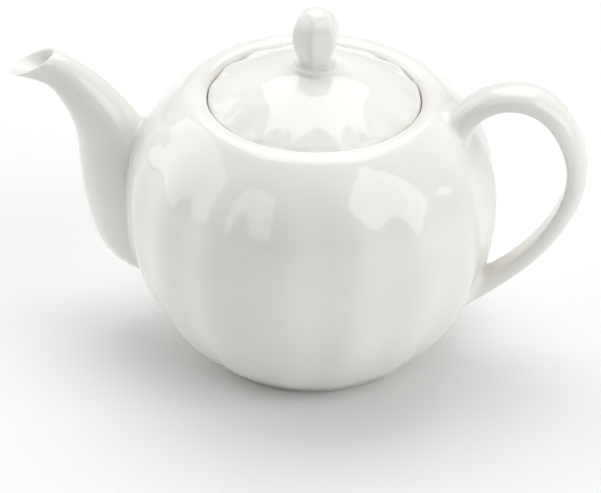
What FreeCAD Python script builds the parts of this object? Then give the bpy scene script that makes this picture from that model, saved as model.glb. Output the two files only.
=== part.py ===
import FreeCAD, Part
import math
import os
from FreeCAD import Vector

# A lobed porcelain teapot: a pot with its spout, handle and foot, and a lift-off lid.
# Millimetres. The origin is on the pot's axis in the plane that the foot stands on.
# +Z is up, the handle points to +X and the spout to -X.

# ---- driving dimensions -------------------------------------------------------------
LOBES = 16                 # soft vertical lobes round the pot, with a crest at the handle
LOBE_DEPTH = 0.55          # half the height of a lobe, crest to valley
LOBE_TOP_Z = 103.2         # the lobes end here, and are full from LOBE_TOP_FADE below it
LOBE_TOP_FADE = 22.0
LOBE_LOW_Z = -1.0          # they fade towards here, and are full from LOBE_LOW_FADE above it
LOBE_LOW_FADE = 24.0

POT_RADIUS = 70.0          # widest radius of the pot
WAIST_Z = 65.4             # height of the widest radius
LOWER_HEIGHT = 75.9        # half height of the superellipse below the waist
LOWER_POWER = 2.2
UPPER_HEIGHT = 55.9        # half height of the superellipse above the waist
UPPER_POWER = 2.13
WALL = 3.0                 # thickness of the pot's wall
WALL_LEAN_GAIN = 0.55      # how much the level inset grows where the wall leans
FLOOR = 4.0                # thickness of the pot's floor
FLOOR_CORNER = 9.0         # the flat of the floor ends this far inside the wall
BELLY_LOW_Z = 22.0         # the shell is parted here into its base and its belly,
SHOULDER_LOW_Z = 73.0      # and here, above the strainer, into its belly and its shoulder

FOOT_HEIGHT = 3.0
FOOT_RADIUS = 41.0
FOOT_WIDTH = 4.0
FOOT_ROUNDING = 1.2

CROWN_RADIUS = 44.2        # the rounded shoulder round the lid
CROWN_Z = 108.2
CROWN_INNER_RINGS = [(42.0, 107.5), (40.0, 105.3)]   # from the crown down into the bore
# Rings that close the inside under the ledge: radius, depth below the ledge's underside.
INNER_TOP_RINGS = [(50.0, 0.7), (42.9, 0.0)]
SEAT_RADIUS = 40.4         # bore that the lid's edge drops into
SEAT_Z = 104.0             # top of the ledge that carries the lid
LEDGE_THICKNESS = 3.4
LEDGE_INNER_RADIUS = 35.6
LEDGE_ROUNDING = 0.9

LID_GAP = 0.45             # radial gap round the lid's edge
REST_GAP = 0.1             # the lid's underside above the ledge
LID_THICKNESS = 2.6
LID_APEX_Z = 119.9
LID_POWER = 2.1            # how square the dome's profile is: 2 is a parabola
LID_LOBE_DEPTH = 0.6
LID_SMOOTH_RADIUS = 26.0   # inside this the lid has no lobes
LID_FULL_RADIUS = 37.0     # from here out its lobes are full
LID_RING_STEP = 2.0        # radius between one section of the lid's top and the next
# The lid's rounded edge from below: inset from its widest radius, height above its
# underside, lobe depth.
LID_EDGE_RINGS = [(0.7, 0.0, 0.0), (0.0, 0.8, 0.0), (0.25, 1.8, 0.2), (0.85, 2.6, 0.45)]
LID_EDGE_WIDTH = 1.8       # radial width of that rounded edge
FLANGE_GAP = 0.7           # radial gap between the flange and the ledge
FLANGE_THICKNESS = 2.8
FLANGE_BOTTOM_Z = 95.5
FLANGE_ROUNDING = 1.0
LUG_WIDTH = 8.0
LUG_HEIGHT = 3.6
LUG_REACH = 2.6            # how far the lug stands out of the flange
LUG_RISE = 0.6             # the lug's underside above the flange's
NOTCH_GAP = 0.8            # clearance between the lug and its notch
VENT_RADIUS = 1.5
VENT_Y = 17.0              # the steam vent is behind the knob

COLLAR_RADIUS = 8.5
COLLAR_TOP_Z = 121.5
# The collar's rings from below: inset from its radius, depth below its top.
COLLAR_RINGS = [(-0.5, 3.6), (0.0, 0.8), (0.4, 0.2), (1.2, 0.0)]
COLLAR_SOFTNESS = 6        # powers of the six-sided rings: the higher, the sharper
KNOB_SOFTNESS = 14
KNOB_TURN = -2.75          # the knob's facets are turned a little off the spout's plane
KNOB_TOP_Z = 144.2
KNOB_RADIUS = 8.7
KNOB_WIDEST_Z = 133.6
KNOB_NECK_RADIUS = 5.7
KNOB_SWELL = 1.3           # the higher, the straighter the neck
KNOB_TOP_POWER = 2.15      # a little fuller than an ellipse
KNOB_NECK_LEVELS = [COLLAR_TOP_Z, 123.6, 126.5, 129.8, KNOB_WIDEST_Z]
KNOB_TOP_SHARES = [0.3, 0.55, 0.75, 0.89, 0.97, 0.999]   # of the height above its widest

STRAINER_RADIUS = 13.0
STRAINER_CENTRE_Z = 57.0
STRAINER_HOLE_RADIUS = 1.7
STRAINER_PITCH = 5.2
STRAINER_ROWS = 2          # rows of holes on each side of the middle row
STRAINER_MARGIN = 2.0      # solid rim outside the strainer's holes
STRAINER_GAP = 0.05
STRAINER_START_X = -85.0   # bars that cut the strainer run from here into the pot
STRAINER_BAR = 30.0

# Stations of the spout in the plane Y = 0: x, z, direction of the axis in degrees
# above -X, half height across the axis, half width along Y.
SPOUT_STATIONS = [
    (-46.0, 47.5, 14.0, 28.0, 19.5),
    (-61.5, 51.8, 38.0, 26.4, 19.0),
    (-70.1, 61.4, 54.0, 20.6, 16.8),
    (-76.0, 75.4, 67.0, 15.4, 13.8),
    (-80.5, 86.4, 61.0, 12.2, 11.7),
    (-86.2, 95.9, 51.0, 9.7, 9.5),
    (-93.2, 103.4, 41.0, 7.8, 7.7),
    (-100.4, 108.1, 33.0, 6.8, 6.8),
]
LIP_CENTRE = (-108.4, 110.2)
LIP_TILT = 28.0            # slope of the mouth, falling towards the lip, in degrees
LIP_HALF_LENGTH = 9.8
LIP_HALF_WIDTH = 8.6
LIP_WALL = 0.9
LIP_OVERRUN = 1.0          # the channel runs on past the lip, so that its cut is clean
SPOUT_WALL_ROOT = 3.4
SPOUT_WALL_NECK = 2.6

# Centreline of the handle in the plane Y = 0: x, z, half thickness, half width.
HANDLE_STATIONS = [
    (49.0, 93.5, 6.4, 9.2),
    (54.4, 101.6, 5.4, 8.4),
    (60.6, 109.2, 4.6, 7.7),
    (69.5, 114.7, 4.1, 7.6),
    (79.8, 115.8, 4.1, 7.8),
    (89.8, 111.1, 4.1, 7.8),
    (96.7, 101.6, 4.1, 7.5),
    (100.2, 89.0, 3.8, 7.0),
    (99.3, 76.0, 3.6, 6.5),
    (94.7, 63.6, 3.5, 6.1),
    (87.4, 51.8, 3.5, 5.9),
    (78.8, 42.0, 3.6, 5.9),
    (70.2, 34.4, 3.9, 6.2),
    (62.4, 28.9, 4.6, 7.2),
    (54.5, 25.0, 5.4, 8.0),
]
HANDLE_LEAN = 0.35         # the section is widest this share of its half thickness inwards
HANDLE_OUTER_POWER = 2.1   # its outer side is round
HANDLE_INNER_POWER = 4.5   # its inner side is flat with soft corners

# Heights of the pot's sections, closer together where it curves most.
OUTER_LEVELS = [FOOT_HEIGHT, 6.0, 10.0, 16.0, 25.0, 37.0, 51.0,
                WAIST_Z, 78.0, 88.0, 95.5, 101.0, 104.6, 106.9]
INNER_LEVELS = [10.0, 16.0, 25.0, 37.0, 51.0, WAIST_Z, 78.0, 88.0, 94.0, 98.0]
RING_POINTS = 4 * LOBES    # points round a lobed section
OVAL_POINTS = 24
HEXAGON_POINTS = 36
DOME_STEPS = 10
CLEAR = 1.0                # how far cutting shapes reach past what they cut
TOUCH = 1e-3               # positions closer than this are the same


# ---- helpers ------------------------------------------------------------------------
def signed_power(value, power):
    return math.copysign(abs(value) ** power, value)


def closed_curve(points):
    """A smooth closed wire through the points."""
    curve = Part.BSplineCurve()
    curve.interpolate(Points=points, PeriodicFlag=True)
    return Part.Wire([curve.toShape()])


def lobed_ring(radius, z, depth):
    """A level ring whose radius rises and falls once for each lobe."""
    points = []
    for step in range(RING_POINTS):
        angle = 2 * math.pi * step / RING_POINTS
        r = radius + depth * math.cos(LOBES * angle)
        points.append(Vector(r * math.cos(angle), r * math.sin(angle), z))
    return closed_curve(points)


def section(x, z, direction, half_height, half_width, lean=0.0, outer_power=2.0, inner_power=2.0):
    """A closed oval across an axis in the plane Y = 0.

    direction is the axis's angle from +X towards +Z, in degrees. The section is widest at
    lean * half_height inwards from its middle, and each side is a superellipse."""
    turn = math.radians(direction)
    across = Vector(-math.sin(turn), 0, math.cos(turn))
    side = Vector(0, 1, 0)
    widest = Vector(x, 0, z) - across * (lean * half_height)
    points = []
    for step in range(OVAL_POINTS):
        angle = 2 * math.pi * step / OVAL_POINTS
        outer = math.cos(angle) > 0
        power = outer_power if outer else inner_power
        reach = half_height * (1 + lean if outer else 1 - lean)
        u = reach * signed_power(math.cos(angle), 2 / power)
        v = half_width * signed_power(math.sin(angle), 2 / power)
        points.append(widest + across * u + side * v)
    return closed_curve(points)


def turned(outline):
    """The solid made by turning a closed outline of (radius, z) round the axis."""
    points = [Vector(r, 0, z) for r, z in outline]
    face = Part.Face(Part.makePolygon(points + points[:1]))
    return face.revolve(Vector(0, 0, 0), Vector(0, 0, 1), 360)


def turned_dome(low_z, radius, height):
    """The solid between a level disc at low_z and the dome z = height(r) above it."""
    rise = Part.BSplineCurve()
    radii = [radius * (1 - step / DOME_STEPS) for step in range(DOME_STEPS + 1)]
    rise.interpolate([Vector(r, 0, height(r)) for r in radii])
    corners = [Vector(0, 0, height(0)), Vector(0, 0, low_z)]
    corners += [Vector(radius, 0, low_z), Vector(radius, 0, height(radius))]
    face = Part.Face(Part.Wire(Part.makePolygon(corners).Edges + [rise.toShape()]))
    return face.revolve(Vector(0, 0, 0), Vector(0, 0, 1), 360)


def pot_radius(z):
    """Radius of the pot's smooth surface at height z, before the lobes."""
    if z < WAIST_Z:
        height, power = LOWER_HEIGHT, LOWER_POWER
    else:
        height, power = UPPER_HEIGHT, UPPER_POWER
    level = abs(z - WAIST_Z) / height
    return POT_RADIUS * (1 - level ** power) ** (1 / power)


def lobe_fade(z):
    """1 on the belly, falling smoothly to 0 below the crown and a little at the foot."""
    top = min(1.0, max(0.0, (LOBE_TOP_Z - z) / LOBE_TOP_FADE))
    bottom = min(1.0, max(0.0, (z - LOBE_LOW_Z) / LOBE_LOW_FADE))
    return math.sin(top * math.pi / 2) * math.sin(bottom * math.pi / 2)


# ---- pot ----------------------------------------------------------------------------
def make_pot_outside():
    """The pot's whole outer shape as one solid, with the lid's bore at its top."""
    rings = [lobed_ring(pot_radius(z), z, LOBE_DEPTH * lobe_fade(z)) for z in OUTER_LEVELS]
    for radius, z in [(CROWN_RADIUS, CROWN_Z)] + CROWN_INNER_RINGS:
        rings.append(lobed_ring(radius, z, 0))
    return Part.makeLoft(rings, True)


def make_pot_inside():
    """The space inside the pot, a wall's thickness within the outer surface."""
    floor_z = FOOT_HEIGHT + FLOOR
    top_z = SEAT_Z - LEDGE_THICKNESS
    rings = [lobed_ring(pot_radius(floor_z) - WALL - FLOOR_CORNER, floor_z, 0)]
    for z in INNER_LEVELS:
        inset = WALL * (1 + WALL_LEAN_GAIN * (abs(z - WAIST_Z) / UPPER_HEIGHT) ** 2)
        rings.append(lobed_ring(pot_radius(z) - inset, z, LOBE_DEPTH * lobe_fade(z)))
    for radius, drop in INNER_TOP_RINGS:
        rings.append(lobed_ring(radius, top_z - drop, 0))
    return Part.makeLoft(rings, True)


def make_shell(outside, inside):
    """The pot's whole wall, open at the lid's bore and at the spout's port."""
    bore_z = SEAT_Z - LEDGE_THICKNESS - 2 * CLEAR
    bore = Part.makeCylinder(SEAT_RADIUS, CROWN_Z + 2 * CLEAR - bore_z, Vector(0, 0, bore_z))
    port = strainer_bar(STRAINER_RADIUS, 0, 0).cut(inside)
    return outside.cut(inside).cut(bore).cut(port)


def shell_between(shell, low_z, high_z):
    """The part of the shell between two heights."""
    reach = POT_RADIUS + 2 * LOBE_DEPTH + CLEAR
    slab = Part.makeBox(2 * reach, 2 * reach, high_z - low_z, Vector(-reach, -reach, low_z))
    return shell.common(slab)


def make_foot_ring():
    """The ring that the pot stands on, with rounded edges."""
    inner = FOOT_RADIUS - FOOT_WIDTH
    ring = turned([(inner, 0), (FOOT_RADIUS, 0), (FOOT_RADIUS, FOOT_HEIGHT), (inner, FOOT_HEIGHT)])
    low_edges = [e for e in ring.Edges if abs(e.BoundBox.ZMax) < TOUCH]
    return ring.makeFillet(FOOT_ROUNDING, low_edges)


def make_lid_gallery():
    """The ledge inside the mouth that carries the lid, notched for the lid's lug."""
    low = SEAT_Z - LEDGE_THICKNESS
    ledge = turned([(LEDGE_INNER_RADIUS, low), (SEAT_RADIUS, low),
                    (SEAT_RADIUS, SEAT_Z), (LEDGE_INNER_RADIUS, SEAT_Z)])
    lips = [e for e in ledge.Edges if abs(e.BoundBox.XMax - LEDGE_INNER_RADIUS) < TOUCH]
    ledge = ledge.makeFillet(LEDGE_ROUNDING, lips)
    reach = flange_radius() + LUG_REACH + NOTCH_GAP
    width = LUG_WIDTH + 2 * NOTCH_GAP
    depth = LEDGE_THICKNESS + 2 * CLEAR
    notch = Part.makeBox(reach, width, depth, Vector(0, -width / 2, low - CLEAR))
    return ledge.cut(notch)


# ---- spout --------------------------------------------------------------------------
def spout_solid(shrink_root, shrink_neck, shrink_lip):
    """The spout as a solid, or its channel when the sections are shrunk."""
    sections = []
    last = len(SPOUT_STATIONS) - 1
    for index, (x, z, rise, half_height, half_width) in enumerate(SPOUT_STATIONS):
        shrink = shrink_root + (shrink_neck - shrink_root) * index / last
        sections.append(section(x, z, 180 - rise, half_height - shrink, half_width - shrink))
    lip_facing = 90 + LIP_TILT
    x, z = LIP_CENTRE
    if shrink_lip > 0:
        x += LIP_OVERRUN * math.cos(math.radians(lip_facing))
        z += LIP_OVERRUN * math.sin(math.radians(lip_facing))
    half_length = LIP_HALF_LENGTH - shrink_lip
    half_width = LIP_HALF_WIDTH - shrink_lip
    sections.append(section(x, z, lip_facing, half_length, half_width))
    return Part.makeLoft(sections, True)


def make_spout(outside):
    shell = spout_solid(0, 0, 0)
    channel = spout_solid(SPOUT_WALL_ROOT, SPOUT_WALL_NECK, LIP_WALL)
    return keep_largest(shell.cut(channel).cut(outside))


def keep_largest(shape):
    return max(shape.Solids, key=lambda solid: solid.Volume)


def strainer_bar(radius, y, rise):
    """A level bar that crosses the pot's wall where the spout starts."""
    start = Vector(STRAINER_START_X, y, STRAINER_CENTRE_Z + rise)
    return Part.makeCylinder(radius, STRAINER_BAR, start, Vector(1, 0, 0))


def make_spout_strainer(outside, inside):
    """The pierced piece of wall between the pot and the spout."""
    plate = strainer_bar(STRAINER_RADIUS - STRAINER_GAP, 0, 0).common(outside).cut(inside)
    holes = []
    row_pitch = STRAINER_PITCH * math.sqrt(3) / 2
    reach = STRAINER_RADIUS - STRAINER_MARGIN - STRAINER_HOLE_RADIUS
    for row in range(-STRAINER_ROWS, STRAINER_ROWS + 1):
        for column in range(-STRAINER_ROWS, STRAINER_ROWS + 1):
            y = (column + 0.5 * (row % 2)) * STRAINER_PITCH
            rise = row * row_pitch
            if math.hypot(y, rise) < reach:
                holes.append(strainer_bar(STRAINER_HOLE_RADIUS, y, rise))
    return keep_largest(plate.cut(Part.makeCompound(holes)))


# ---- handle -------------------------------------------------------------------------
def make_handle(outside):
    """An ear-shaped strap, round outside and flat inside, that is broader at both roots."""
    sections = []
    last = len(HANDLE_STATIONS) - 1
    for index, (x, z, half_thickness, half_width) in enumerate(HANDLE_STATIONS):
        before = HANDLE_STATIONS[max(0, index - 1)]
        after = HANDLE_STATIONS[min(last, index + 1)]
        direction = math.degrees(math.atan2(after[1] - before[1], after[0] - before[0]))
        sections.append(section(x, z, direction, half_thickness, half_width,
                                HANDLE_LEAN, HANDLE_OUTER_POWER, HANDLE_INNER_POWER))
    return keep_largest(Part.makeLoft(sections, True).cut(outside))


# ---- lid ----------------------------------------------------------------------------
def flange_radius():
    return LEDGE_INNER_RADIUS - FLANGE_GAP


def lid_edge_radius():
    return SEAT_RADIUS - LID_GAP


def lid_height(radius):
    """Height of the lid's smooth upper surface at a radius."""
    edge_z = SEAT_Z + REST_GAP + LID_THICKNESS
    level = radius / lid_edge_radius()
    return edge_z + (LID_APEX_Z - edge_z) * (1 - level ** LID_POWER)


def lid_lobe_share(radius):
    """How much of a lobe's depth the lid's dome has at a radius."""
    rising = (radius - LID_SMOOTH_RADIUS) / (LID_FULL_RADIUS - LID_SMOOTH_RADIUS)
    return max(0.0, min(1.0, rising))


def lid_dome(low_z, radius, drop):
    """The lid's smooth dome out to a radius, lowered by drop and flat underneath at low_z."""
    return turned_dome(low_z, radius, lambda r: lid_height(r) - drop)


def make_lid():
    """A shallow dome with soft lobes out to its edge and a steam vent behind the knob."""
    bottom = SEAT_Z + REST_GAP
    rings = []
    for inset, rise, depth in LID_EDGE_RINGS:
        rings.append(lobed_ring(lid_edge_radius() - inset, bottom + rise, depth))
    radius = lid_edge_radius() - LID_EDGE_WIDTH
    while radius > LID_RING_STEP / 2:
        rings.append(lobed_ring(radius, lid_height(radius), LID_LOBE_DEPTH * lid_lobe_share(radius)))
        radius -= LID_RING_STEP
    hollow = lid_dome(bottom - CLEAR, flange_radius() - FLANGE_THICKNESS, LID_THICKNESS)
    vent = Part.makeCylinder(VENT_RADIUS, LID_APEX_Z - bottom, Vector(0, VENT_Y, bottom))
    return Part.makeLoft(rings, True).cut(hollow).cut(vent)


def make_lid_flange():
    """The ring under the lid that keeps it centred in the ledge."""
    outer = flange_radius()
    inner = outer - FLANGE_THICKNESS
    top = SEAT_Z + REST_GAP
    ring = turned([(inner, FLANGE_BOTTOM_Z), (outer, FLANGE_BOTTOM_Z), (outer, top), (inner, top)])
    low_edges = [e for e in ring.Edges if abs(e.BoundBox.ZMax - FLANGE_BOTTOM_Z) < TOUCH]
    return ring.makeFillet(FLANGE_ROUNDING, low_edges)


def make_lid_lug():
    """The lug that passes through the ledge's notch and locks under the ledge."""
    outer = flange_radius() + LUG_REACH
    low = FLANGE_BOTTOM_Z + LUG_RISE
    bar = Part.makeBox(outer, LUG_WIDTH, LUG_HEIGHT, Vector(0, -LUG_WIDTH / 2, low))
    disc = Part.makeCylinder(outer, LUG_HEIGHT, Vector(0, 0, low))
    inner = Part.makeCylinder(flange_radius(), LUG_HEIGHT + 2 * CLEAR, Vector(0, 0, low - CLEAR))
    return bar.common(disc).cut(inner)


def soft_hexagon(radius, z, softness):
    """A level six-sided ring with soft corners. radius is halfway from facet to corner."""
    points = []
    for step in range(HEXAGON_POINTS):
        angle = 2 * math.pi * step / HEXAGON_POINTS
        total = 0.0
        for side in range(6):
            total += max(0.0, math.cos(angle - side * math.pi / 3)) ** softness
        corner = 2 * math.cos(math.pi / 6) ** softness
        r = 2 * radius / (1 + corner ** (-1 / softness)) / total ** (1 / softness)
        turned_angle = angle + math.radians(KNOB_TURN)
        points.append(Vector(r * math.cos(turned_angle), r * math.sin(turned_angle), z))
    return closed_curve(points)


def make_knob_collar():
    """The low rounded plinth between the lid and the knob."""
    rings = []
    for inset, drop in COLLAR_RINGS:
        rings.append(soft_hexagon(COLLAR_RADIUS - inset, COLLAR_TOP_Z - drop, COLLAR_SOFTNESS))
    low = COLLAR_TOP_Z - COLLAR_RINGS[0][1] - CLEAR
    return keep_largest(Part.makeLoft(rings, True).cut(lid_dome(low, 2 * COLLAR_RADIUS, 0)))


def knob_radius(z):
    """Radius of the knob: a neck that swells to a bulb and closes in a round top."""
    if z < KNOB_WIDEST_Z:
        level = (z - COLLAR_TOP_Z) / (KNOB_WIDEST_Z - COLLAR_TOP_Z)
        swell = math.sin(level * math.pi / 2) ** KNOB_SWELL
        return KNOB_NECK_RADIUS + (KNOB_RADIUS - KNOB_NECK_RADIUS) * swell
    level = (z - KNOB_WIDEST_Z) / (KNOB_TOP_Z - KNOB_WIDEST_Z)
    return KNOB_RADIUS * (1 - level ** KNOB_TOP_POWER) ** (1 / KNOB_TOP_POWER)


def make_lid_knob():
    """A six-sided bulb with soft edges that meet at its top."""
    height = KNOB_TOP_Z - KNOB_WIDEST_Z
    levels = KNOB_NECK_LEVELS + [KNOB_WIDEST_Z + height * share for share in KNOB_TOP_SHARES]
    return Part.makeLoft([soft_hexagon(knob_radius(z), z, KNOB_SOFTNESS) for z in levels], True)


# ---- assembly -----------------------------------------------------------------------
def main():
    os.makedirs("parts", exist_ok=True)
    outside = make_pot_outside()
    inside = make_pot_inside()
    shell = make_shell(outside, inside)
    parts = {
        "pot_base": shell_between(shell, FOOT_HEIGHT, BELLY_LOW_Z),
        "pot_belly": shell_between(shell, BELLY_LOW_Z, SHOULDER_LOW_Z),
        "pot_shoulder": shell_between(shell, SHOULDER_LOW_Z, CROWN_Z + CLEAR),
        "foot_ring": make_foot_ring(),
        "lid_gallery": make_lid_gallery(),
        "spout": make_spout(outside),
        "spout_strainer": make_spout_strainer(outside, inside),
        "handle": make_handle(outside),
        "lid": make_lid(),
        "lid_flange": make_lid_flange(),
        "lid_lug": make_lid_lug(),
        "knob_collar": make_knob_collar(),
        "lid_knob": make_lid_knob(),
    }
    for name, shape in parts.items():
        shape.exportStep("parts/" + name + ".step")
        box = shape.BoundBox
        print(f"{name:15s} valid {shape.isValid()} solids {len(shape.Solids)} "
              f"volume {shape.Volume / 1000:7.2f} cm3 "
              f"x {box.XMin:7.1f} {box.XMax:7.1f} y {box.YMin:6.1f} {box.YMax:6.1f} "
              f"z {box.ZMin:6.1f} {box.ZMax:6.1f}")


main()
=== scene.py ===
import math

import bmesh
import bpy
import numpy as np
from mathutils import Matrix, Quaternion, Vector


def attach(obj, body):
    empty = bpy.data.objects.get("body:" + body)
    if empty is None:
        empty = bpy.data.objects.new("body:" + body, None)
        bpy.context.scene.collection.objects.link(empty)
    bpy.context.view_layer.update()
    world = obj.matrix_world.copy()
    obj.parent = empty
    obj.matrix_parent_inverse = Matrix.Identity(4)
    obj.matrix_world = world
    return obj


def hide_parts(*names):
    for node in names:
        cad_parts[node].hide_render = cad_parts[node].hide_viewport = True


# The looks of the lobed porcelain teapot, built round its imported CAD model.
# Shapes are worked out in millimetres and written to Blender in metres. The frame is
# the CAD's: the origin on the pot's axis in the plane it stands on, +Z up, the handle
# towards +X and the spout towards -X.

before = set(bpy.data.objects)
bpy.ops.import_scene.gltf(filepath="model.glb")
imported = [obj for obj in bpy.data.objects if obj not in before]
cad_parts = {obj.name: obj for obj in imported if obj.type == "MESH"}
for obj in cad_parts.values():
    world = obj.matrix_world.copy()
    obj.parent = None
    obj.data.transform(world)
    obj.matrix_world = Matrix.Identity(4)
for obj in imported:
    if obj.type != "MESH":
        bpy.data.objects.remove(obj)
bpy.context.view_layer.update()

# ---- dimensions in millimetres, the CAD model's own unless a comment says otherwise --
LOBES = 16
LOBE_DEPTH = 0.55
LOBE_TOP_Z = 103.2         # the lobes end here, and are full from LOBE_TOP_FADE below it
LOBE_TOP_FADE = 22.0
LOBE_LOW_Z = -1.0          # they fade towards here, and are full from LOBE_LOW_FADE above it
LOBE_LOW_FADE = 24.0
POT_RADIUS = 70.0
WAIST_Z = 65.4
LOWER_HEIGHT = 75.9
LOWER_POWER = 2.2
UPPER_HEIGHT = 55.9
UPPER_POWER = 2.13
WALL = 3.0
WALL_LEAN_GAIN = 0.55      # how much the level inset grows where the wall leans
FLOOR_Z = 7.0
INNER_WALL_Z = (10.0, 98.0)   # heights between which the inside follows the outside
FOOT_HEIGHT = 3.0
SHOULDER_Z = 88.0          # from here up the side passes into the crown
SIDE_TOP_Z = 106.4         # last height at which the crown follows the side
# From the crown's crest down into the bore. It meets the bore in a curve, where the
# CAD's crown is cut off by it.
CROWN_PROFILE = [(44.2, 108.2), (41.9, 107.6), (40.75, 106.6), (40.4, 105.4)]
SEAT_RADIUS = 40.4
SEAT_Z = 104.0
LEDGE_LOW_Z = 100.6
LEDGE_INNER_RADIUS = 35.6
LID_EDGE_RADIUS = 39.95
LID_EDGE_Z = 106.7
LID_BOTTOM_Z = 104.1
LID_APEX_Z = 119.9
LID_THICKNESS = 2.6
LID_POWER = 2.1
LID_LOBE_DEPTH = 0.6
# Each is 1 mm beyond the CAD's, because the rise of the lobes between them is smoothed.
LID_SMOOTH_RADIUS = 25.0
LID_FULL_RADIUS = 38.0
# The lid's rounded edge from above: radius, height, lobe depth. Its widest ring is
# 0.2 mm outside the CAD's.
LID_EDGE_RINGS = [(39.4, 106.7, 0.4), (40.0, 105.9, 0.12), (40.15, 104.9, 0.0)]
LID_DOME_RADIUS = 38.15    # where the dome passes into that edge
FLANGE_RADIUS = 34.9
FLANGE_INNER_RADIUS = 32.1
FLANGE_BOTTOM_Z = 95.5
VENT_RADIUS = 1.5
VENT_Y = 17.0
VENT_FLARE = 0.5           # how far the vent's upper edge opens out, not in the CAD
COLLAR_RADIUS = 8.5
COLLAR_TOP_Z = 121.5
KNOB_TOP_Z = 144.18        # just under the top of the CAD's knob
KNOB_RADIUS = 8.7
KNOB_WIDEST_Z = 133.6
KNOB_NECK_RADIUS = 5.7
KNOB_SWELL = 1.3
KNOB_TOP_POWER = 2.15
KNOB_TURN = -2.75          # degrees
KNOB_SOFTNESS = 14         # the higher, the sharper a six-sided ring's corners
KNOB_FILLET = 0.9          # glaze round the knob's foot, not in the CAD
COLLAR_SOFTNESS = 6
NOTCH_HALF_WIDTH = 4.8
NOTCH_DEPTH = 2.7
STRAINER_CENTRE_Z = 57.0
STRAINER_REACH = 9.3       # farthest centre of a hole from the strainer's centre
STRAINER_HOLE_RADIUS = 1.7
STRAINER_PITCH = 5.2
STRAINER_ROWS = 2          # rows of holes on each side of the middle row
STRAINER_BAR_X = (-50.0, -85.0)   # the bars that cut the holes run between these

# x, z, rise of the axis in degrees, half height, half width
SPOUT_STATIONS = [
    (-46.0, 47.5, 14.0, 28.0, 19.5),
    (-61.5, 51.8, 38.0, 26.4, 19.0),
    (-70.1, 61.4, 54.0, 20.6, 16.8),
    (-76.0, 75.4, 67.0, 15.4, 13.8),
    (-80.5, 86.4, 61.0, 12.2, 11.7),
    (-86.2, 95.9, 51.0, 9.7, 9.5),
    (-93.2, 103.4, 41.0, 7.8, 7.7),
    (-100.4, 108.1, 33.0, 6.8, 6.8),
    (-108.4, 110.2, 62.0, 9.8, 8.6),
]
SPOUT_WALLS = (3.4, 2.6)   # at the root and at the neck
LIP_WALL = 0.9

# x, z, half thickness, half width
HANDLE_STATIONS = [
    (49.0, 93.5, 6.4, 9.2),
    (54.4, 101.6, 5.4, 8.4),
    (60.6, 109.2, 4.6, 7.7),
    (69.5, 114.7, 4.1, 7.6),
    (79.8, 115.8, 4.1, 7.8),
    (89.8, 111.1, 4.1, 7.8),
    (96.7, 101.6, 4.1, 7.5),
    (100.2, 89.0, 3.8, 7.0),
    (99.3, 76.0, 3.6, 6.5),
    (94.7, 63.6, 3.5, 6.1),
    (87.4, 51.8, 3.5, 5.9),
    (78.8, 42.0, 3.6, 5.9),
    (70.2, 34.4, 3.9, 6.2),
    (62.4, 28.9, 4.6, 7.2),
    (54.5, 25.0, 5.4, 8.0),
]
HANDLE_LEAN = 0.35         # widest this share of its half thickness inwards
HANDLE_OUTER_POWER = 2.1
HANDLE_INNER_POWER = 4.5

# ---- fineness of the meshes ----------------------------------------------------------
MM = 0.001
AROUND = 480               # points round the pot and the lid, 30 to a lobe
TUBE_AROUND = 96           # points round the spout and the handle
KNOB_AROUND = 96
HOLE_AROUND = 24
VENT_AROUND = 32
CROWN_STEPS = 72
LOWER_STEPS = 46           # sections below the waist
UPPER_STEPS = 16           # sections from the waist to the shoulder
INNER_STEPS = 40           # sections of the inside
DOME_STEPS = 64
DOME_UNDER_STEPS = 30
KNOB_STEPS = (34, 40)      # sections below the knob's widest radius and above it
LINE_STEPS = 600           # samples along a tube's lines before they are spaced evenly
SPOUT_STEPS = 110
CHANNEL_STEPS = 80
HANDLE_STEPS = 220
LIP_STEPS = 10
SHARP_ANGLE = math.radians(35)
PROBE = 0.02               # step for measuring slopes of the pot's surface
RIM_HEIGHT = 0.012         # a fillet's rim stands this far out of the pot's surface,
SKIRT_DEPTH = 0.03         # and the skirt outside it dives this far under the surface
SKIRT_WIDTH = 1.2
FILLET_PULL = 0.55         # how strongly a fillet leaves along each surface
# How far a root's fillet climbs its tube, and how far it spreads over the pot.
SPOUT_FILLET = (4.0, 3.6)
HANDLE_FILLET = (4.5, 3.4)
CHANNEL_SINK = 0.4         # the channel's inner end stops this far under the pot's surface

# ---- colours, linear RGB -------------------------------------------------------------
GLAZE_SHADE = (0.79, 0.78, 0.74)
GLAZE_TINT = (0.83, 0.82, 0.785)
SPECK = (0.36, 0.33, 0.28)
BISCUIT_SHADE = (0.66, 0.62, 0.55)
BISCUIT_TINT = (0.78, 0.75, 0.69)
FLOOR_COLOUR = (0.82, 0.82, 0.82)
WHITE = (1, 1, 1)
BLACK = (0, 0, 0)

# ---- studio, in metres and degrees ---------------------------------------------------
FLOOR_REACH = 3.0
LIT_POINT = (0, 0, 0.07)   # the softboxes face this point
# Name, (azimuth, elevation), distance, width, height, radiance, turn about the line to it.
SOFTBOXES = [
    ("top_softbox", (98, 66), 1.3, 1.15, 1.25, 2.5, 0),
    ("left_softbox", (176, 22), 1.3, 1.3, 1.1, 1.5, 0),
    ("right_softbox", (-22, 29), 1.2, 0.75, 1.3, 2.4, 33),
    ("front_left_softbox", (-122, 24), 1.3, 0.2, 0.9, 1.7, 0),
]
ROOM_FRONT = 0.12          # strength of the room's light from the front,
ROOM_REST = 0.5            # and from everywhere else
CAMERA_TARGET = (0, 0, 0.055)
CAMERA_DISTANCE = 1.4
CAMERA_TURN = (8.75, 31.96, -1.18)   # azimuth, elevation, roll
CAMERA_LENS = 218.85                 # millimetres
CAMERA_SHIFT = (-0.01925, -0.0546)


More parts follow.
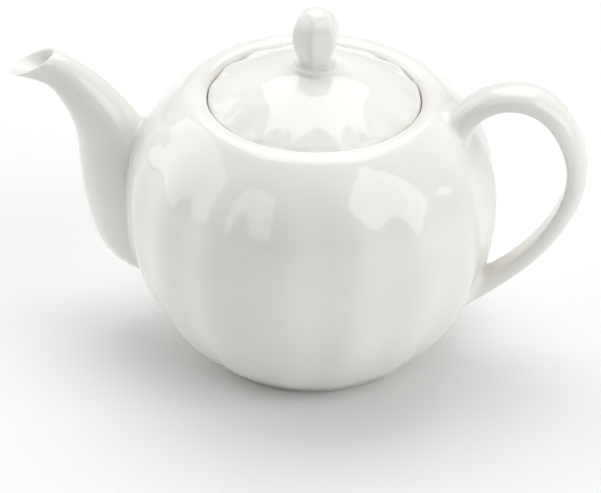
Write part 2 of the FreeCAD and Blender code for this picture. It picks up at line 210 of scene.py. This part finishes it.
# ---- curves --------------------------------------------------------------------------
def natural_spline(knots, rows, targets):
    """Values at the targets of the smooth curve that passes through each row at its knot."""
    knots = np.asarray(knots, float)
    rows = np.asarray(rows, float)
    count = len(knots)
    gaps = np.diff(knots)
    shape = (count - 1,) + (1,) * (rows.ndim - 1)
    slopes = np.diff(rows, axis=0) / gaps.reshape(shape)
    system = np.eye(count)
    right = np.zeros_like(rows)
    for i in range(1, count - 1):
        system[i, i - 1:i + 2] = gaps[i - 1], 2 * (gaps[i - 1] + gaps[i]), gaps[i]
        right[i] = 6 * (slopes[i] - slopes[i - 1])
    bends = np.linalg.solve(system, right.reshape(count, -1)).reshape(rows.shape)
    values = []
    for target in targets:
        i = int(np.clip(np.searchsorted(knots, target) - 1, 0, count - 2))
        h = gaps[i]
        a = (knots[i + 1] - target) / h
        b = 1 - a
        bend = (a ** 3 - a) * bends[i] + (b ** 3 - b) * bends[i + 1]
        values.append(a * rows[i] + b * rows[i + 1] + bend * h * h / 6)
    return np.array(values)


def chord_knots(points):
    """Distances along the straight runs between points, starting at 0."""
    runs = np.linalg.norm(np.diff(np.asarray(points, float), axis=0), axis=1)
    return np.concatenate([[0.0], np.cumsum(runs)])


def smooth_profile(points, count):
    """count points, evenly spaced in chord length, on the smooth curve through points."""
    knots = chord_knots(points)
    return natural_spline(knots, points, np.linspace(0, knots[-1], count))


def arc(centre, radius, start, end, count):
    """Points of an arc in (radius, z), angles in degrees."""
    angles = np.radians(np.linspace(start, end, count))
    return [(centre[0] + radius * math.cos(a), centre[1] + radius * math.sin(a)) for a in angles]


def signed_power(values, power):
    return np.sign(values) * np.abs(values) ** power


def smooth_step(value, low, high):
    """0 below low, 1 above high, and a smooth rise between them."""
    share = np.clip((value - low) / (high - low), 0.0, 1.0)
    return share * share * (3 - 2 * share)


# ---- meshes --------------------------------------------------------------------------
def make_object(name, points, faces):
    mesh = bpy.data.meshes.new(name)
    mesh.from_pydata([tuple(float(c) * MM for c in p) for p in points], [], faces)
    shaped = bmesh.new()
    shaped.from_mesh(mesh)
    bmesh.ops.recalc_face_normals(shaped, faces=shaped.faces)
    shaped.to_mesh(mesh)
    shaped.free()
    mesh.shade_smooth()
    piece = bpy.data.objects.new(name, mesh)
    bpy.context.scene.collection.objects.link(piece)
    return piece


def skin(name, rings, looped=False):
    """A closed mesh through rings of points. A ring of one point is a pole."""
    points = []
    starts = []
    for ring in rings:
        starts.append(len(points))
        points.extend(ring)
    pairs = list(zip(range(len(rings) - 1), range(1, len(rings))))
    if looped:
        pairs.append((len(rings) - 1, 0))
    faces = []
    for low, high in pairs:
        count = max(len(rings[low]), len(rings[high]))
        for k in range(count):
            n = (k + 1) % count
            corners = []
            for ring, order in ((low, (k, n)), (high, (n, k))):
                if len(rings[ring]) == 1:
                    corners.append(starts[ring])
                else:
                    corners.extend(starts[ring] + step for step in order)
            faces.append(corners)
    return make_object(name, points, faces)


def cut(piece, cutters):
    """Takes the cutters' shapes out of the piece and removes the cutters."""
    for cutter in cutters:
        modifier = piece.modifiers.new("cut", "BOOLEAN")
        modifier.operation = "DIFFERENCE"
        modifier.solver = "EXACT"
        modifier.object = cutter
        bpy.context.view_layer.update()
        evaluated = piece.evaluated_get(bpy.context.evaluated_depsgraph_get())
        mesh = bpy.data.meshes.new_from_object(evaluated)
        piece.modifiers.clear()
        old = piece.data
        piece.data = mesh
        bpy.data.meshes.remove(old)
        bpy.data.objects.remove(cutter)
    piece.data.set_sharp_from_angle(angle=SHARP_ANGLE)


def ring_angles(count):
    return np.linspace(0, 2 * math.pi, count, endpoint=False)


def lobed_ring(radius, z, depth=0.0):
    """A level ring whose radius rises and falls once for each lobe."""
    angles = ring_angles(AROUND)
    r = radius + depth * np.cos(LOBES * angles)
    return np.column_stack([r * np.cos(angles), r * np.sin(angles), np.full(AROUND, z)])


def pole(z):
    return np.array([[0.0, 0.0, z]])


# ---- the pot's surface ---------------------------------------------------------------
def side_radius(z):
    if z < WAIST_Z:
        height, power = LOWER_HEIGHT, LOWER_POWER
    else:
        height, power = UPPER_HEIGHT, UPPER_POWER
    level = min(1.0, abs(z - WAIST_Z) / height)
    return POT_RADIUS * (1 - level ** power) ** (1 / power)


def crown_profile():
    """The shoulder round the lid, from the pot's side over to the bore."""
    side = [(side_radius(z), z) for z in np.linspace(SHOULDER_Z, SIDE_TOP_Z, 12)]
    return smooth_profile(side + CROWN_PROFILE, CROWN_STEPS)


def pot_radius(z):
    """Radius of the pot's smooth outer surface at a height, up to the crown's crest."""
    if z < SHOULDER_Z:
        return side_radius(z)
    rising = CROWN[:np.argmax(CROWN[:, 1]) + 1]
    return float(np.interp(z, rising[:, 1], rising[:, 0]))


def lobe_fade(z):
    """1 on the belly, falling smoothly to 0 below the crown and a little at the foot."""
    top = min(1.0, max(0.0, (LOBE_TOP_Z - z) / LOBE_TOP_FADE))
    bottom = min(1.0, max(0.0, (z - LOBE_LOW_Z) / LOBE_LOW_FADE))
    return math.sin(top * math.pi / 2) * math.sin(bottom * math.pi / 2)


CROWN = crown_profile()


def pot_excess(point):
    """How far a point's radius is outside the pot's lobed surface at its height."""
    x, y, z = point
    lobes = LOBE_DEPTH * lobe_fade(z) * math.cos(LOBES * math.atan2(y, x))
    return math.hypot(x, y) - pot_radius(z) - lobes


def pot_normal(point):
    """The pot's outward normal near a point."""
    slopes = []
    for axis in np.eye(3):
        slopes.append(pot_excess(point + axis * PROBE) - pot_excess(point - axis * PROBE))
    slopes = np.array(slopes)
    return slopes / np.linalg.norm(slopes)


def on_pot(point, height=0.0):
    """The point moved along the pot's normal until it is at a height above its surface."""
    for _ in range(4):
        normal = pot_normal(point)
        lean = math.hypot(normal[0], normal[1])
        point = point - normal * (pot_excess(point) * lean - height)
    return point


def make_pot():
    """The whole pot in one skin: underside, foot, belly, crown, lid ledge and inside."""
    rings = [pole(3.2)]
    underside = [(12.0, 3.2), (24.0, 3.15), (31.0, 3.1), (34.6, 3.0)]
    inner_foot = arc((34.6, 1.0), 2.0, 80, 10, 6)
    foot_edge = [(37.0, 0.6), (38.0, 0.45), (40.2, 0.45), (40.8, 0.6)]
    outer_foot = arc((42.9, 1.2), 1.85, 180, 112, 6)
    for r, z in underside + inner_foot + foot_edge + outer_foot:
        rings.append(lobed_ring(r, z))
    lowest = FOOT_HEIGHT + 0.4
    for step in range(LOWER_STEPS):
        z = WAIST_Z - (WAIST_Z - lowest) * math.sin(math.pi / 2 * (1 - step / LOWER_STEPS))
        rings.append(lobed_ring(pot_radius(z), z, LOBE_DEPTH * lobe_fade(z)))
    for step in range(UPPER_STEPS):
        z = WAIST_Z + (SHOULDER_Z - WAIST_Z) * step / UPPER_STEPS
        rings.append(lobed_ring(pot_radius(z), z, LOBE_DEPTH * lobe_fade(z)))
    for r, z in CROWN:
        rings.append(lobed_ring(r, z, LOBE_DEPTH * lobe_fade(z)))
    for r, z in ledge_profile():
        rings.append(notched_ring(r, z))
    low, high = INNER_WALL_Z
    for step in range(1, INNER_STEPS):
        z = low + (high - low) * (1 - step / INNER_STEPS)
        inset = WALL * (1 + WALL_LEAN_GAIN * (abs(z - WAIST_Z) / UPPER_HEIGHT) ** 2)
        rings.append(lobed_ring(pot_radius(z) - inset, z, LOBE_DEPTH * lobe_fade(z)))
    for r, z in ((44.5, 9.4), (41.0, 8.3), (36.0, 7.5), (30.0, 7.1), (20.0, FLOOR_Z)):
        rings.append(lobed_ring(r, z))
    rings.append(pole(FLOOR_Z))
    return skin("pot_shell", rings)


def ledge_profile():
    """From the bore over the ledge that carries the lid, and under it to the wall."""
    profile = [(SEAT_RADIUS, 104.9)]
    profile += arc((SEAT_RADIUS - 0.7, SEAT_Z + 0.7), 0.7, 0, -90, 5)
    profile += [(39.0, SEAT_Z)]
    profile += arc((LEDGE_INNER_RADIUS + 1.0, SEAT_Z - 1.0), 1.0, 90, 180, 6)
    profile += arc((LEDGE_INNER_RADIUS + 1.0, LEDGE_LOW_Z + 1.0), 1.0, 180, 270, 6)
    profile += [(39.5, LEDGE_LOW_Z), (43.9, 100.5), (47.5, 100.2), (49.8, 99.6)]
    return profile


def notched_ring(radius, z):
    """A ring of the ledge, set back where the lid's lug passes down through it."""
    ring = lobed_ring(radius, z)
    beside = smooth_step(np.abs(ring[:, 1]), NOTCH_HALF_WIDTH - 0.4, NOTCH_HALF_WIDTH + 0.6)
    share = np.where(ring[:, 0] > 0, 1 - beside, 0.0)
    reach = LEDGE_INNER_RADIUS + NOTCH_DEPTH
    moved = radius + np.maximum(0.0, reach - radius) * share
    ring[:, :2] *= (moved / radius)[:, None]
    return ring


def strainer_cutters():
    """Bars where the tea passes through the pot's wall into the spout."""
    cutters = []
    row_height = STRAINER_PITCH * math.sqrt(3) / 2
    for row in range(-STRAINER_ROWS, STRAINER_ROWS + 1):
        for column in range(-STRAINER_ROWS, STRAINER_ROWS + 1):
            y = (column + 0.5 * (row % 2)) * STRAINER_PITCH
            z = row * row_height
            if math.hypot(y, z) < STRAINER_REACH:
                cutters.append(strainer_bar(y, STRAINER_CENTRE_Z + z))
    return cutters


def strainer_bar(y, z):
    """A level round bar along X, to cut a strainer hole."""
    angles = ring_angles(HOLE_AROUND)
    across = np.column_stack([
        np.zeros(HOLE_AROUND),
        STRAINER_HOLE_RADIUS * np.cos(angles),
        STRAINER_HOLE_RADIUS * np.sin(angles),
    ])
    start, end = ((x, y, z) for x in STRAINER_BAR_X)
    return skin("bar", [[start], across + start, across + end, [end]])


# ---- tubes that grow out of the pot --------------------------------------------------
def oval(x, z, direction, half_height, half_width, lean=0.0, outer_power=2.0, inner_power=2.0):
    """A closed section across an axis in the plane Y = 0, the outer side first.

    It is widest at lean * half_height inwards from its middle."""
    turn = math.radians(direction)
    across = np.array([-math.sin(turn), 0, math.cos(turn)])
    angles = ring_angles(TUBE_AROUND)
    cosines = np.cos(angles)
    power = np.where(cosines > 0, outer_power, inner_power)
    reach = half_height * np.where(cosines > 0, 1 + lean, 1 - lean)
    u = reach * signed_power(cosines, 2 / power) - lean * half_height
    v = half_width * signed_power(np.sin(angles), 2 / power)
    return np.array([x, 0, z]) + np.outer(u, across) + np.outer(v, [0, 1, 0])


def lines_through(sections, centres):
    """Lengthwise lines through the sections: an array of line, sample, coordinate."""
    knots = chord_knots(centres)
    targets = np.linspace(0, knots[-1], LINE_STEPS)
    return natural_spline(knots, sections, targets).transpose(1, 0, 2)


def crossing(line):
    """The first place on a line, as an index with a fraction, where it leaves the pot."""
    before = pot_excess(line[0])
    for i in range(1, len(line)):
        after = pot_excess(line[i])
        if before <= 0 < after:
            return i - 1 + before / (before - after)
        before = after
    raise ValueError("a line of the tube never leaves the pot")


def point_at(line, index):
    low = int(min(len(line) - 2, math.floor(index)))
    share = index - low
    return line[low] * (1 - share) + line[low + 1] * share


def index_after(line, index, distance):
    """The index on a line at a distance beyond another index."""
    here = point_at(line, index)
    step = int(math.floor(index)) + 1
    travelled = 0.0
    while step < len(line):
        run = float(np.linalg.norm(line[step] - here))
        if travelled + run >= distance:
            return step - 1 + (distance - travelled) / np.linalg.norm(line[step] - line[step - 1])
        travelled += run
        here = line[step]
        step += 1
    return len(line) - 1.0


def root_blend(lines, reach, spread, steps=9):
    """Rings from the pot's skin up onto a tube, and where on each line they end."""
    marks = [crossing(line) for line in lines]
    feet = np.array([point_at(line, mark) for line, mark in zip(lines, marks)])
    middle = feet.mean(axis=0)
    count = len(lines)
    columns = []
    ends = []
    for k, (line, mark) in enumerate(zip(lines, marks)):
        foot = feet[k]
        normal = pot_normal(foot)
        along = feet[(k + 1) % count] - feet[k - 1]
        away = np.cross(along, normal)
        away /= np.linalg.norm(away)
        if np.dot(away, foot - middle) < 0:
            away = -away
        end = index_after(line, mark, reach)
        top = point_at(line, end)
        rim = on_pot(foot + away * spread, RIM_HEIGHT)
        rim_normal = pot_normal(rim)
        inward = foot - rim
        inward -= rim_normal * np.dot(inward, rim_normal)
        downward = point_at(line, max(0.0, end - 2)) - top
        downward *= np.linalg.norm(foot - top) / np.linalg.norm(downward)
        handles = [rim, rim + inward * FILLET_PULL, top + downward * FILLET_PULL, top]
        skirt = on_pot(rim - inward * (SKIRT_WIDTH / spread), -SKIRT_DEPTH)
        columns.append([skirt] + [bezier(handles, s / steps) for s in range(steps)])
        ends.append(end)
    return [np.array(ring) for ring in zip(*columns)], ends


def bezier(handles, share):
    a, b, c, d = handles
    rest = 1 - share
    return a * rest ** 3 + b * 3 * rest ** 2 * share + c * 3 * rest * share ** 2 + d * share ** 3


def spaced(line, start, end, count):
    """count points on a line between two indices, evenly spaced in length."""
    knots = chord_knots(line)
    grid = np.arange(len(line))
    marks = np.linspace(np.interp(start, grid, knots), np.interp(end, grid, knots), count)
    return np.column_stack([np.interp(marks, knots, line[:, axis]) for axis in range(3)])


def spout_lines(outer):
    """Lengthwise lines of the spout's outside, or of its channel."""
    sections = []
    last = len(SPOUT_STATIONS) - 1
    for index, (x, z, rise, half_height, half_width) in enumerate(SPOUT_STATIONS):
        if outer:
            wall = 0.0
        elif index == last:
            wall = LIP_WALL
        else:
            wall = SPOUT_WALLS[0] + (SPOUT_WALLS[1] - SPOUT_WALLS[0]) * index / (last - 1)
        sections.append(oval(x, z, 180 - rise, half_height - wall, half_width - wall))
    return lines_through(sections, [station[:2] for station in SPOUT_STATIONS])


def make_spout():
    """The spout as one skin: root, outside, rounded lip and channel."""
    outside = spout_lines(True)
    channel = spout_lines(False)
    rings, starts = root_blend(outside, *SPOUT_FILLET)
    outer_columns = []
    for line, start in zip(outside, starts):
        outer_columns.append(spaced(line, start, lip_index(line), SPOUT_STEPS))
    inner_columns = []
    for line in channel:
        mark = crossing(line)
        sunk = on_pot(point_at(line, mark), -CHANNEL_SINK)
        inner_columns.append(np.vstack([spaced(line, lip_index(line), mark, CHANNEL_STEPS), sunk]))
    lip = [lip_arc(outer, inner) for outer, inner in zip(outer_columns, inner_columns)]
    for columns in (outer_columns, lip, inner_columns):
        rings += list(np.array(columns).transpose(1, 0, 2))
    return skin("spout_skin", rings, looped=True)


def lip_index(line):
    """Where a spout line stops for the lip's round edge."""
    length = chord_knots(line)
    return float(np.interp(length[-1] - LIP_WALL / 2, length, np.arange(LINE_STEPS)))


def lip_arc(outer, inner):
    """Points round the lip, from the end of an outer line to the start of an inner one."""
    width = np.linalg.norm(outer[-1] - inner[0])
    out_tangent = outer[-1] - outer[-2]
    in_tangent = inner[0] - inner[1]
    out_tangent *= width * 2 / 3 / np.linalg.norm(out_tangent)
    in_tangent *= width * 2 / 3 / np.linalg.norm(in_tangent)
    handles = [outer[-1], outer[-1] + out_tangent, inner[0] + in_tangent, inner[0]]
    return [bezier(handles, step / LIP_STEPS) for step in range(1, LIP_STEPS)]


def make_handle():
    """The handle: round outside, flat inside, and blended into the pot at both ends."""
    sections = []
    last = len(HANDLE_STATIONS) - 1
    for index, (x, z, half_thickness, half_width) in enumerate(HANDLE_STATIONS):
        before = HANDLE_STATIONS[max(0, index - 1)]
        after = HANDLE_STATIONS[min(last, index + 1)]
        direction = math.degrees(math.atan2(after[1] - before[1], after[0] - before[0]))
        sections.append(oval(x, z, direction, half_thickness, half_width,
                             HANDLE_LEAN, HANDLE_OUTER_POWER, HANDLE_INNER_POWER))
    lines = lines_through(sections, [station[:2] for station in HANDLE_STATIONS])
    upper, upper_ends = root_blend(lines, *HANDLE_FILLET)
    lower, lower_ends = root_blend(lines[:, ::-1], *HANDLE_FILLET)
    columns = []
    for line, start, end in zip(lines, upper_ends, lower_ends):
        columns.append(spaced(line, start, LINE_STEPS - 1 - end, HANDLE_STEPS))
    rings = [sunken(upper[0])] + upper
    rings += list(np.array(columns).transpose(1, 0, 2))
    rings += lower[::-1] + [sunken(lower[0])]
    return skin("handle_strap", rings)


def sunken(ring):
    """One point inside the pot's wall that closes a tube's end."""
    middle = on_pot(ring.mean(axis=0), -WALL / 2)
    return middle[None, :]


# ---- lid -----------------------------------------------------------------------------
def lid_height(radius):
    return LID_EDGE_Z + (LID_APEX_Z - LID_EDGE_Z) * (1 - (radius / LID_EDGE_RADIUS) ** LID_POWER)


def lid_lobe_share(radius):
    return smooth_step(radius, LID_SMOOTH_RADIUS, LID_FULL_RADIUS)


def make_lid():
    """The shallow dome, lobed out to its edge, with the vent cut through it."""
    rings = [pole(LID_APEX_Z)]
    dome = []
    for radius in np.linspace(0, LID_DOME_RADIUS, DOME_STEPS)[1:]:
        dome.append((radius, lid_height(radius), LID_LOBE_DEPTH * lid_lobe_share(radius)))
    rings += [lobed_ring(r, z, depth) for r, z, depth in dome[:-4]]
    for r, z, depth in smooth_profile(dome[-4:] + LID_EDGE_RINGS, 24):
        rings.append(lobed_ring(r, z, depth))
    for r, z in arc((39.3, 104.8), 0.7, -10, -90, 5):
        rings.append(lobed_ring(r, z))
    rings += [lobed_ring(r, LID_BOTTOM_Z) for r in (37.5, 35.5, 33.5, FLANGE_INNER_RADIUS + 0.2)]
    for step in range(DOME_UNDER_STEPS):
        radius = FLANGE_INNER_RADIUS * (1 - step / DOME_UNDER_STEPS)
        rings.append(lobed_ring(radius, lid_height(radius) - LID_THICKNESS))
    rings.append(pole(LID_APEX_Z - LID_THICKNESS))
    lid = skin("lid_dome", rings)
    cut(lid, [vent_cutter()])
    return lid


def vent_cutter():
    """A round hole along Z whose upper end flares out like a glazed edge."""
    surface = lid_height(VENT_Y)
    low = surface - 8
    high = surface + 3
    flared = VENT_RADIUS + VENT_FLARE
    profile = [(VENT_RADIUS, low)]
    for r, z in arc((VENT_RADIUS, surface - 0.4), VENT_FLARE, 0, 90, 5):
        profile.append((VENT_RADIUS + flared - r, z))
    profile.append((flared, high))
    angles = ring_angles(VENT_AROUND)
    rings = [[(0, VENT_Y, low)]]
    for r, z in profile:
        x = r * np.cos(angles)
        y = VENT_Y + r * np.sin(angles)
        rings.append(np.column_stack([x, y, np.full(VENT_AROUND, z)]))
    rings.append([(0, VENT_Y, high)])
    return skin("vent_bar", rings)


def make_flange():
    """The ring under the lid that drops inside the ledge."""
    fillet = 1.0
    rounding = 1.3
    low = FLANGE_BOTTOM_Z + rounding
    profile = [(FLANGE_RADIUS + fillet, LID_BOTTOM_Z + 0.1)]
    profile += arc((FLANGE_RADIUS + fillet, LID_BOTTOM_Z - fillet), fillet, 90, 180, 5)
    profile += [(FLANGE_RADIUS, 99.0)]
    profile += arc((FLANGE_RADIUS - rounding, low), rounding, 0, -90, 6)
    profile += arc((FLANGE_INNER_RADIUS + rounding, low), rounding, -90, -180, 6)
    profile += [(FLANGE_INNER_RADIUS, 99.0), (FLANGE_INNER_RADIUS, LID_BOTTOM_Z + 1.0)]
    profile += [(FLANGE_INNER_RADIUS + 1.0, LID_BOTTOM_Z + 1.5)]
    return skin("flange_ring", [lobed_ring(r, z) for r, z in profile], looped=True)


def soft_hexagon(radius, z, softness):
    """A level six-sided ring with soft corners. radius is halfway from facet to corner."""
    angles = ring_angles(KNOB_AROUND)
    total = np.zeros(KNOB_AROUND)
    for side in range(6):
        total += np.maximum(0.0, np.cos(angles - side * math.pi / 3)) ** softness
    corner = 2 * math.cos(math.pi / 6) ** softness
    r = 2 * radius / (1 + corner ** (-1 / softness)) / total ** (1 / softness)
    turned = angles + math.radians(KNOB_TURN)
    return np.column_stack([r * np.cos(turned), r * np.sin(turned), np.full(KNOB_AROUND, z)])


def knob_radius(z):
    if z < KNOB_WIDEST_Z:
        level = (z - COLLAR_TOP_Z) / (KNOB_WIDEST_Z - COLLAR_TOP_Z)
        swell = math.sin(max(0.0, level) * math.pi / 2) ** KNOB_SWELL
        return KNOB_NECK_RADIUS + (KNOB_RADIUS - KNOB_NECK_RADIUS) * swell
    level = min(1.0, (z - KNOB_WIDEST_Z) / (KNOB_TOP_Z - KNOB_WIDEST_Z))
    return KNOB_RADIUS * (1 - level ** KNOB_TOP_POWER) ** (1 / KNOB_TOP_POWER)


def make_knob():
    """The six-sided bulb, with a small glaze fillet where it meets its plinth."""
    lower_steps, upper_steps = KNOB_STEPS
    profile = [(KNOB_NECK_RADIUS + KNOB_FILLET, COLLAR_TOP_Z - 0.1)]
    for turn in (0, 20, 40, 60, 80):
        out = KNOB_FILLET * (1 - math.sin(math.radians(turn)))
        z = COLLAR_TOP_Z + KNOB_FILLET * (1 - math.cos(math.radians(turn)))
        profile.append((knob_radius(z) + out, z))
    for z in np.linspace(COLLAR_TOP_Z + 1.0, KNOB_WIDEST_Z, lower_steps, endpoint=False):
        profile.append((knob_radius(z), z))
    height = KNOB_TOP_Z - KNOB_WIDEST_Z
    for step in range(upper_steps):
        z = KNOB_WIDEST_Z + height * math.sin(math.pi / 2 * step / upper_steps)
        profile.append((knob_radius(z), z))
    rings = [pole(COLLAR_TOP_Z - 0.4)]
    rings += [soft_hexagon(r, z, KNOB_SOFTNESS) for r, z in profile]
    rings.append(pole(KNOB_TOP_Z))
    return skin("knob_bulb", rings)


def make_collar():
    """The low six-sided plinth, with a rounded top edge and a fillet onto the lid."""
    foot = lid_height(COLLAR_RADIUS + 1.2)
    corners = [(COLLAR_RADIUS + 1.5, foot - 0.15), (COLLAR_RADIUS + 0.9, foot + 0.1)]
    corners += [(COLLAR_RADIUS + 0.3, foot + 0.5), (COLLAR_RADIUS, COLLAR_TOP_Z - 0.7)]
    corners += [(COLLAR_RADIUS - 0.35, COLLAR_TOP_Z - 0.15), (COLLAR_RADIUS - 1.1, COLLAR_TOP_Z)]
    rings = [pole(LID_APEX_Z - 2.0)]
    rings += [soft_hexagon(r, z, COLLAR_SOFTNESS) for r, z in smooth_profile(corners, 22)]
    rings.append(pole(COLLAR_TOP_Z))
    return skin("knob_plinth", rings)


def make_foot():
    """The unglazed rim that the pot stands on, standing just out of the glaze."""
    rounding = 0.9
    profile = arc((38.5, rounding), rounding, 180, 270, 6)
    profile += arc((39.6, rounding), rounding, 270, 360, 6)
    profile += [(40.5, 1.2), (37.6, 1.2)]
    return skin("foot_rim", [lobed_ring(r, z) for r, z in profile], looped=True)


# ---- materials -----------------------------------------------------------------------
def new_material(name, roughness):
    material = bpy.data.materials.new(name)
    material.use_nodes = True
    tree = material.node_tree
    shader = tree.nodes["Principled BSDF"]
    shader.inputs["Roughness"].default_value = roughness
    return material, tree, shader


def add_noise(tree, scale, detail):
    coordinates = tree.nodes.new("ShaderNodeTexCoord")
    noise = tree.nodes.new("ShaderNodeTexNoise")
    noise.inputs["Scale"].default_value = scale
    noise.inputs["Detail"].default_value = detail
    tree.links.new(coordinates.outputs["Object"], noise.inputs["Vector"])
    return noise


def add_ramp(tree, source, stops):
    """Two colours, each at its position, and a blend between them."""
    ramp = tree.nodes.new("ShaderNodeValToRGB")
    for element, (position, colour) in zip(ramp.color_ramp.elements, stops):
        element.position = position
        element.color = (*colour, 1)
    tree.links.new(source, ramp.inputs["Fac"])
    return ramp


def add_bump(tree, shader, height, strength, distance):
    bump = tree.nodes.new("ShaderNodeBump")
    bump.inputs["Strength"].default_value = strength
    bump.inputs["Distance"].default_value = distance
    tree.links.new(height, bump.inputs["Height"])
    tree.links.new(bump.outputs["Normal"], shader.inputs["Normal"])


def mix_colours(tree, share, first, second):
    """A linked colour that passes into a fixed one as the share rises."""
    mix = tree.nodes.new("ShaderNodeMix")
    mix.data_type = "RGBA"
    factor, colour_a, colour_b = (mix.inputs[slot] for slot in (0, 6, 7))
    tree.links.new(share, factor)
    tree.links.new(first, colour_a)
    colour_b.default_value = (*second, 1)
    return mix.outputs[2]


def glaze_material():
    """White glazed porcelain: faint tone drift, a soft wave in the glaze, rare specks."""
    material, tree, shader = new_material("glazed_porcelain", roughness=0.07)
    drift = add_noise(tree, scale=28.0, detail=3.0)
    tone = add_ramp(tree, drift.outputs["Fac"], [(0.35, GLAZE_SHADE), (0.65, GLAZE_TINT)])
    specks = tree.nodes.new("ShaderNodeTexVoronoi")
    specks.inputs["Scale"].default_value = 75.0
    coordinates = tree.nodes.new("ShaderNodeTexCoord")
    tree.links.new(coordinates.outputs["Object"], specks.inputs["Vector"])
    dots = add_ramp(tree, specks.outputs["Distance"], [(0.008, WHITE), (0.016, BLACK)])
    colour = mix_colours(tree, dots.outputs["Color"], tone.outputs["Color"], SPECK)
    tree.links.new(colour, shader.inputs["Base Color"])
    wave = add_noise(tree, scale=55.0, detail=2.0)
    add_bump(tree, shader, wave.outputs["Fac"], strength=0.25, distance=0.0006)
    return material


def biscuit_material():
    """Bare fired porcelain on the foot's rim: matt, slightly creamy and grainy."""
    material, tree, shader = new_material("bare_porcelain", roughness=0.75)
    grain = add_noise(tree, scale=900.0, detail=6.0)
    tone = add_ramp(tree, grain.outputs["Fac"], [(0.3, BISCUIT_SHADE), (0.7, BISCUIT_TINT)])
    tree.links.new(tone.outputs["Color"], shader.inputs["Base Color"])
    add_bump(tree, shader, grain.outputs["Fac"], strength=0.4, distance=0.0002)
    return material


# ---- studio --------------------------------------------------------------------------
def paint(piece, material):
    piece.data.materials.clear()
    piece.data.materials.append(material)


def place(piece, body, material, nodes):
    """Gives a piece its material and its body, and hides the CAD nodes it stands for."""
    paint(piece, material)
    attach(piece, body)
    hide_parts(*nodes)


def add_floor():
    mesh = bpy.data.meshes.new("floor")
    corners = [(x * FLOOR_REACH, y * FLOOR_REACH, 0) for x, y in ((-1, -1), (1, -1), (1, 1), (-1, 1))]
    mesh.from_pydata(corners, [], [(0, 1, 2, 3)])
    floor = bpy.data.objects.new("floor", mesh)
    bpy.context.scene.collection.objects.link(floor)
    material, _, shader = new_material("pale_floor", roughness=0.9)
    shader.inputs["Base Color"].default_value = (*FLOOR_COLOUR, 1)
    shader.inputs["Specular IOR Level"].default_value = 0.1
    mesh.materials.append(material)


def add_softbox(name, direction, distance, width, height, radiance, turn):
    """A soft area light in a direction from the lit point, (azimuth, elevation).

    turn is the panel's angle about the line to that point, in degrees."""
    azimuth, elevation = (math.radians(a) for a in direction)
    flat = math.cos(elevation)
    away = Vector((math.cos(azimuth) * flat, math.sin(azimuth) * flat, math.sin(elevation)))
    light = bpy.data.lights.new(name, "AREA")
    light.shape = "RECTANGLE"
    light.size = width
    light.size_y = height
    light.energy = radiance * math.pi * width * height
    lamp = bpy.data.objects.new(name, light)
    lamp.location = Vector(LIT_POINT) + away * distance
    lamp.rotation_mode = "QUATERNION"
    facing = away.to_track_quat("Z", "Y")
    lamp.rotation_quaternion = facing @ Quaternion((0, 0, 1), math.radians(turn))
    bpy.context.scene.collection.objects.link(lamp)


def add_world():
    """An even pale room that darkens towards the front, behind the camera."""
    world = bpy.data.worlds.new("studio")
    world.use_nodes = True
    tree = world.node_tree
    direction = tree.nodes.new("ShaderNodeTexCoord")
    parts = tree.nodes.new("ShaderNodeSeparateXYZ")
    shade = tree.nodes.new("ShaderNodeMapRange")
    shade.interpolation_type = "SMOOTHSTEP"
    shade.inputs["From Min"].default_value = -0.9
    shade.inputs["From Max"].default_value = 0.0
    shade.inputs["To Min"].default_value = ROOM_FRONT
    shade.inputs["To Max"].default_value = ROOM_REST
    tree.links.new(direction.outputs["Generated"], parts.inputs["Vector"])
    tree.links.new(parts.outputs["Y"], shade.inputs["Value"])
    tree.links.new(shade.outputs["Result"], tree.nodes["Background"].inputs["Strength"])
    tree.nodes["Background"].inputs["Color"].default_value = (1, 1, 1, 1)
    bpy.context.scene.world = world


def add_camera():
    """The photograph's view: 32 degrees above the table and a little towards the handle."""
    azimuth, elevation, roll = (math.radians(angle) for angle in CAMERA_TURN)
    flat = math.cos(elevation)
    back = Vector((math.sin(azimuth) * flat, -math.cos(azimuth) * flat, math.sin(elevation)))
    right = Vector((math.cos(azimuth), math.sin(azimuth), 0))
    up = back.cross(right)
    level_right = right * math.cos(roll) - up * math.sin(roll)
    level_up = right * math.sin(roll) + up * math.cos(roll)
    camera = bpy.data.cameras.new("camera")
    camera.lens = CAMERA_LENS
    camera.sensor_width = 36
    camera.shift_x, camera.shift_y = CAMERA_SHIFT
    holder = bpy.data.objects.new("camera", camera)
    turn = Matrix((level_right, level_up, back)).transposed()
    place_at = Matrix.Translation(Vector(CAMERA_TARGET) + back * CAMERA_DISTANCE)
    holder.matrix_world = place_at @ turn.to_4x4()
    bpy.context.scene.collection.objects.link(holder)
    bpy.context.scene.camera = holder


def main():
    glaze = glaze_material()
    biscuit = biscuit_material()
    pot = make_pot()
    cut(pot, strainer_cutters())
    pot_nodes = ["pot_base", "pot_belly", "pot_shoulder", "lid_gallery", "spout_strainer"]
    place(pot, "pot", glaze, pot_nodes)
    place(make_foot(), "pot", biscuit, ["foot_ring"])
    place(make_spout(), "pot", glaze, ["spout"])
    place(make_handle(), "pot", glaze, ["handle"])
    place(make_lid(), "lid", glaze, ["lid"])
    place(make_flange(), "lid", glaze, ["lid_flange"])
    place(make_collar(), "lid", glaze, ["knob_collar"])
    place(make_knob(), "lid", glaze, ["lid_knob"])
    paint(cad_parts["lid_lug"], glaze)
    add_floor()
    add_world()
    for softbox in SOFTBOXES:
        add_softbox(*softbox)
    add_camera()
    bpy.context.scene.view_settings.view_transform = "Standard"


main()
